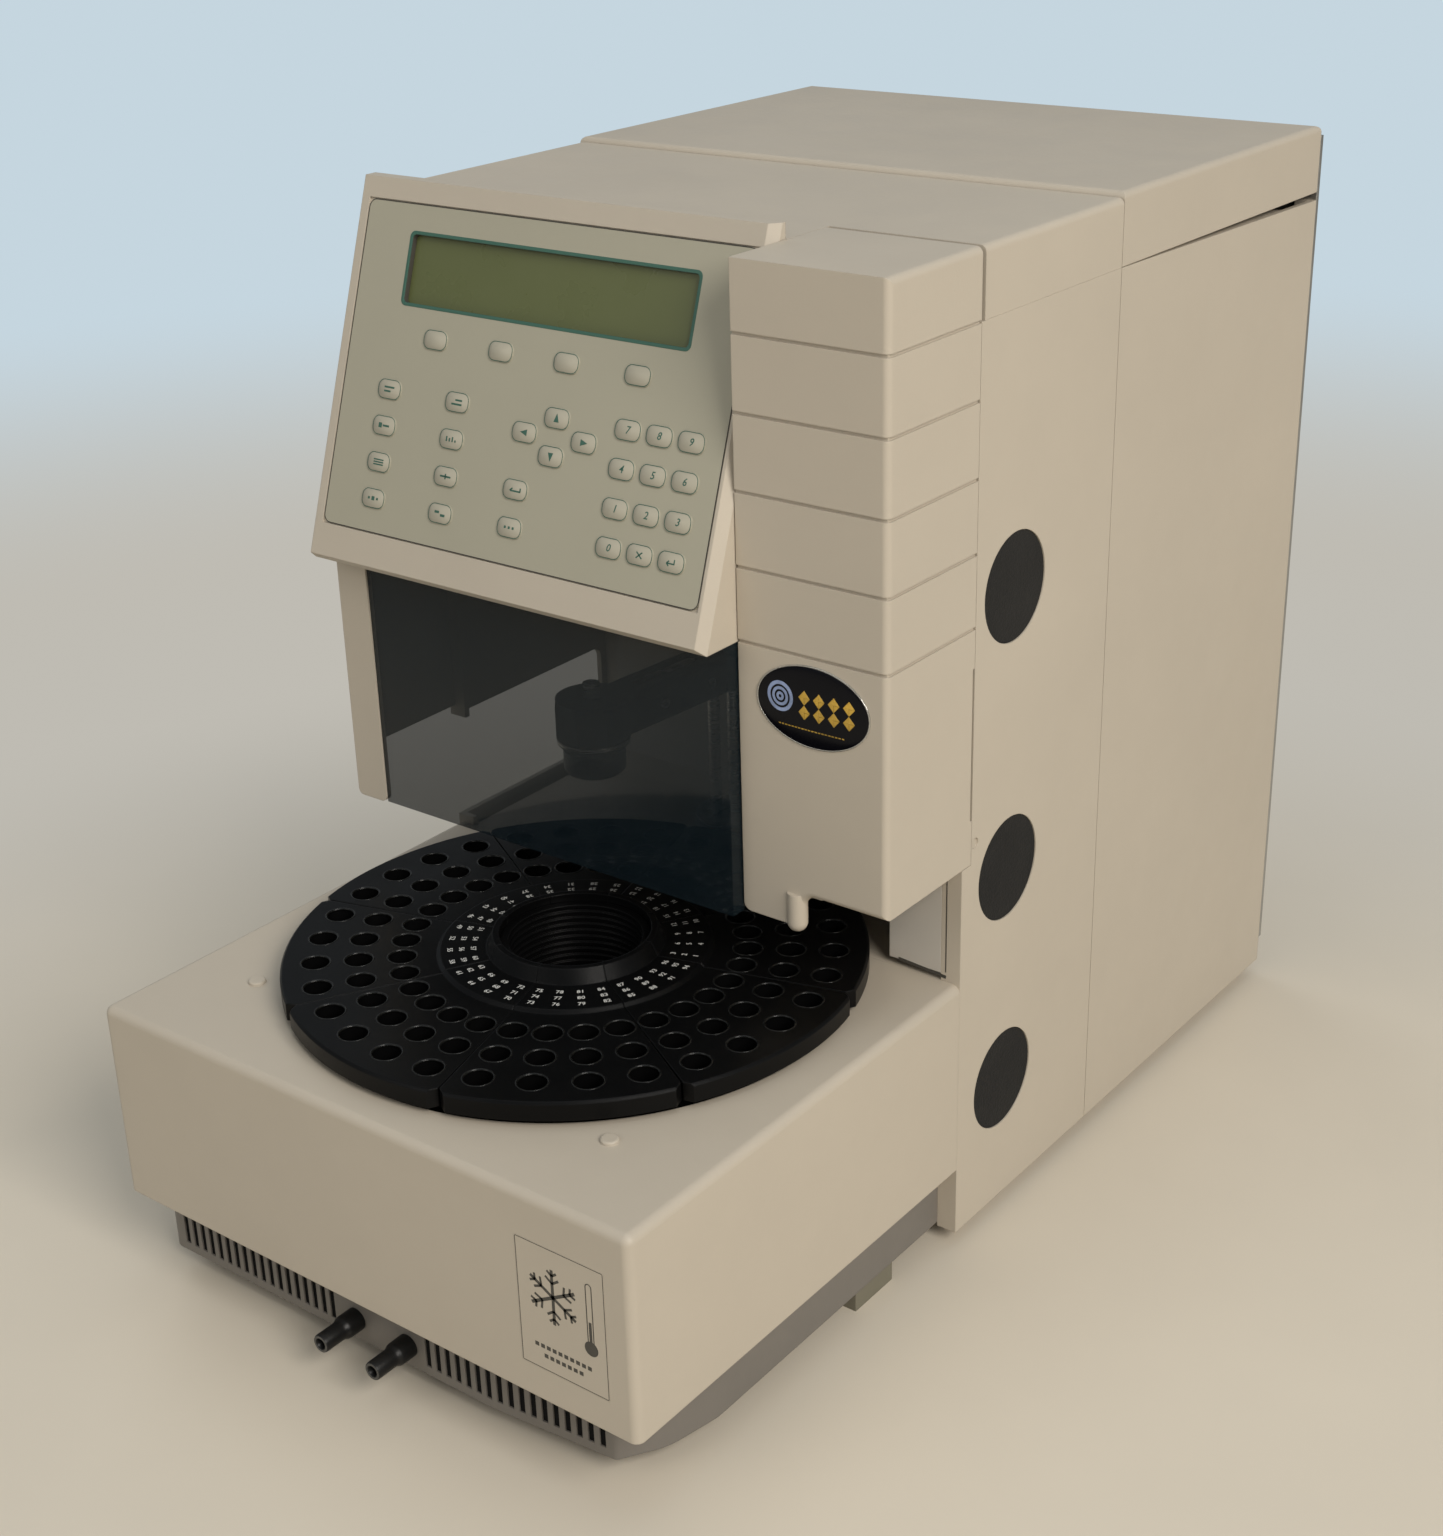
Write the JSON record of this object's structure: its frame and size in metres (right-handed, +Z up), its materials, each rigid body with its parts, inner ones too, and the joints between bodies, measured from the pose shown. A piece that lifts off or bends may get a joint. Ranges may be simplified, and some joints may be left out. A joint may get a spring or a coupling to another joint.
{
  "type": "bench autosampler",
  "caption": "Bench autosampler: a turning vial tray in a low front housing, a needle arm behind a smoked window, a tilted keypad head and a side column.",
  "frame": {"origin": "centre of the footprint, on the bench under the rubber feet", "axes": "+Z up, +Y from the tray's front to the back panel, +X to the right as the keypad is read"},
  "size_m": [0.3, 0.561, 0.467],
  "materials": {
    "beige_shell": "fine satin texture",
    "beige_moulding": "fine satin texture",
    "base_grey": "matt moulded",
    "overlay": "fine matt film",
    "display": "smooth",
    "smoked_window": "polished",
    "tray_black": "satin moulded",
    "mechanism_black": "matt moulded",
    "vent_foam": "open foam",
    "motor": "satin",
    "steel": "brushed",
    "aluminium": "milled",
    "sheet_steel": "passivated sheet",
    "grey_sheet": "satin",
    "rubber": "matt",
    "white_polymer": "smooth",
    "insulation": "closed foam",
    "barrel_glass": "clear",
    "board_green": "varnished",
    "connector_black": "matt moulded"
  },
  "bodies": {
    "chassis": {"base_pan": "base_grey", "bench_feet": "rubber", "hose_nozzles": "connector_black", "tray_housing": "beige_moulding", "deck_plate": "beige_shell", "cooling_well": "aluminium", "well_foam": "insulation", "well_stand": "aluminium", "spindle_bearing": "steel", "cooling_modules": "white_polymer", "heat_sink": "aluminium", "fan_frames": "mechanism_black", "tray_motor": "motor", "swing_motor": "motor", "wash_port": "white_polymer", "keypad_head": "beige_moulding", "keypad_membrane": "overlay", "display_module": "display", "keypad_board": "board_green", "left_cheek": "beige_moulding", "front_window": "smoked_window", "right_front_panel": "beige_shell", "left_front_panel": "beige_shell", "right_rear_panel": "beige_shell", "left_rear_panel": "beige_shell", "vent_discs": "vent_foam", "front_top_cover": "beige_moulding", "column_plate": "grey_sheet", "syringe_barrel": "barrel_glass", "syringe_motor": "motor", "selector_body": "white_polymer", "valve_stator": "steel", "valve_motors": "motor", "bulkhead": "grey_sheet", "power_supply": "sheet_steel", "main_board": "board_green", "rear_panel": "sheet_steel", "power_inlet": "connector_black", "signal_connectors": "connector_black", "panel_screws": "steel"},
    "carousel": {"turntable": "tray_black", "vial_segments": "tray_black", "spindle_gear": "steel"},
    "pinion": {"tray_pinion": "steel"},
    "tower": {"needle_tower": "steel", "lift_motor": "motor"},
    "lift_screw": {"lift_screw": "steel"},
    "arm": {"needle_arm": "mechanism_black", "needle": "steel", "foot_spring": "steel"},
    "foot": {"needle_foot": "mechanism_black"},
    "plunger": {"syringe_plunger": "steel"},
    "syringe_screw": {"syringe_screw": "steel"},
    "selector": {"selector_rotor": "white_polymer"},
    "injector": {"valve_rotor": "steel"},
    "column": {"column_cover": "beige_moulding"},
    "lid": {"rear_lid": "beige_shell"},
    "cooling_fan": {"cooling_fan_rotor": "mechanism_black"},
    "rear_fan": {"rear_fan_rotor": "mechanism_black"},
    "rocker": {"power_rocker": "connector_black"}
  },
  "joints": [
    {"name": "carousel_spin", "type": "hinge", "parent": "chassis", "child": "carousel", "pos_m": [0, -0.1245, 0.112], "axis": [0, 0, 1], "continuous": true},
    {"name": "pinion_spin", "type": "hinge", "parent": "chassis", "child": "pinion", "pos_m": [0, -0.07035, 0.057], "axis": [0, 0, 1], "continuous": true},
    {"name": "needle_swing", "type": "hinge", "parent": "chassis", "child": "tower", "pos_m": [-0.032, 0.036, 0.1387], "axis": [0, 0, 1], "range_deg": [0, 77]},
    {"name": "needle_lift", "type": "slide", "parent": "tower", "child": "arm", "axis": [0, 0, -1], "range_m": [0, 0.062]},
    {"name": "foot_slide", "type": "slide", "parent": "arm", "child": "foot", "axis": [0, 0, 1], "range_m": [0, 0.0187], "deforming": ["foot_spring"]},
    {"name": "lift_screw_turn", "type": "hinge", "parent": "tower", "child": "lift_screw", "pos_m": [-0.032, 0.036, 0.1407], "axis": [0, 0, 1], "range_deg": [0, 2234]},
    {"name": "syringe_draw", "type": "slide", "parent": "chassis", "child": "plunger", "axis": [0, 0, -1], "range_m": [0, 0.06]},
    {"name": "syringe_screw_turn", "type": "hinge", "parent": "chassis", "child": "syringe_screw", "pos_m": [0.095, -0.055, 0.216], "axis": [0, 0, 1], "range_deg": [0, 2702]},
    {"name": "selector_turn", "type": "hinge", "parent": "chassis", "child": "selector", "pos_m": [0.095, -0.061, 0.412], "axis": [0, 1, 0], "range_deg": [-90, 90]},
    {"name": "injector_turn", "type": "hinge", "parent": "chassis", "child": "injector", "pos_m": [0.127, -0.068, 0.25], "axis": [0, 1, 0], "range_deg": [0, 60]},
    {"name": "column_slide", "type": "slide", "parent": "chassis", "child": "column", "axis": [0, -1, 0], "range_m": [0, 0.07]},
    {"name": "lid_lift", "type": "slide", "parent": "chassis", "child": "lid", "axis": [0, 0, 1], "range_m": [0, 0.06]},
    {"name": "cooling_fan_spin", "type": "hinge", "parent": "chassis", "child": "cooling_fan", "pos_m": [0, -0.209, 0.016], "axis": [0, 0, 1], "continuous": true},
    {"name": "rear_fan_spin", "type": "hinge", "parent": "chassis", "child": "rear_fan", "pos_m": [-0.07, 0.271, 0.33], "axis": [0, 1, 0], "continuous": true},
    {"name": "rocker_tip", "type": "hinge", "parent": "chassis", "child": "rocker", "pos_m": [0.112, 0.2745, 0.075], "axis": [-1, 0, 0], "range_deg": [0, 8]}
  ],
  "couplings": [
    {"joint": "pinion_spin", "follows": "carousel_spin", "ratio": -5},
    {"joint": "foot_slide", "follows": "needle_lift", "ratio": 0.3},
    {"joint": "lift_screw_turn", "follows": "needle_lift", "rad_per_m": 628.32},
    {"joint": "syringe_screw_turn", "follows": "syringe_draw", "rad_per_m": 785.4}
  ]
}
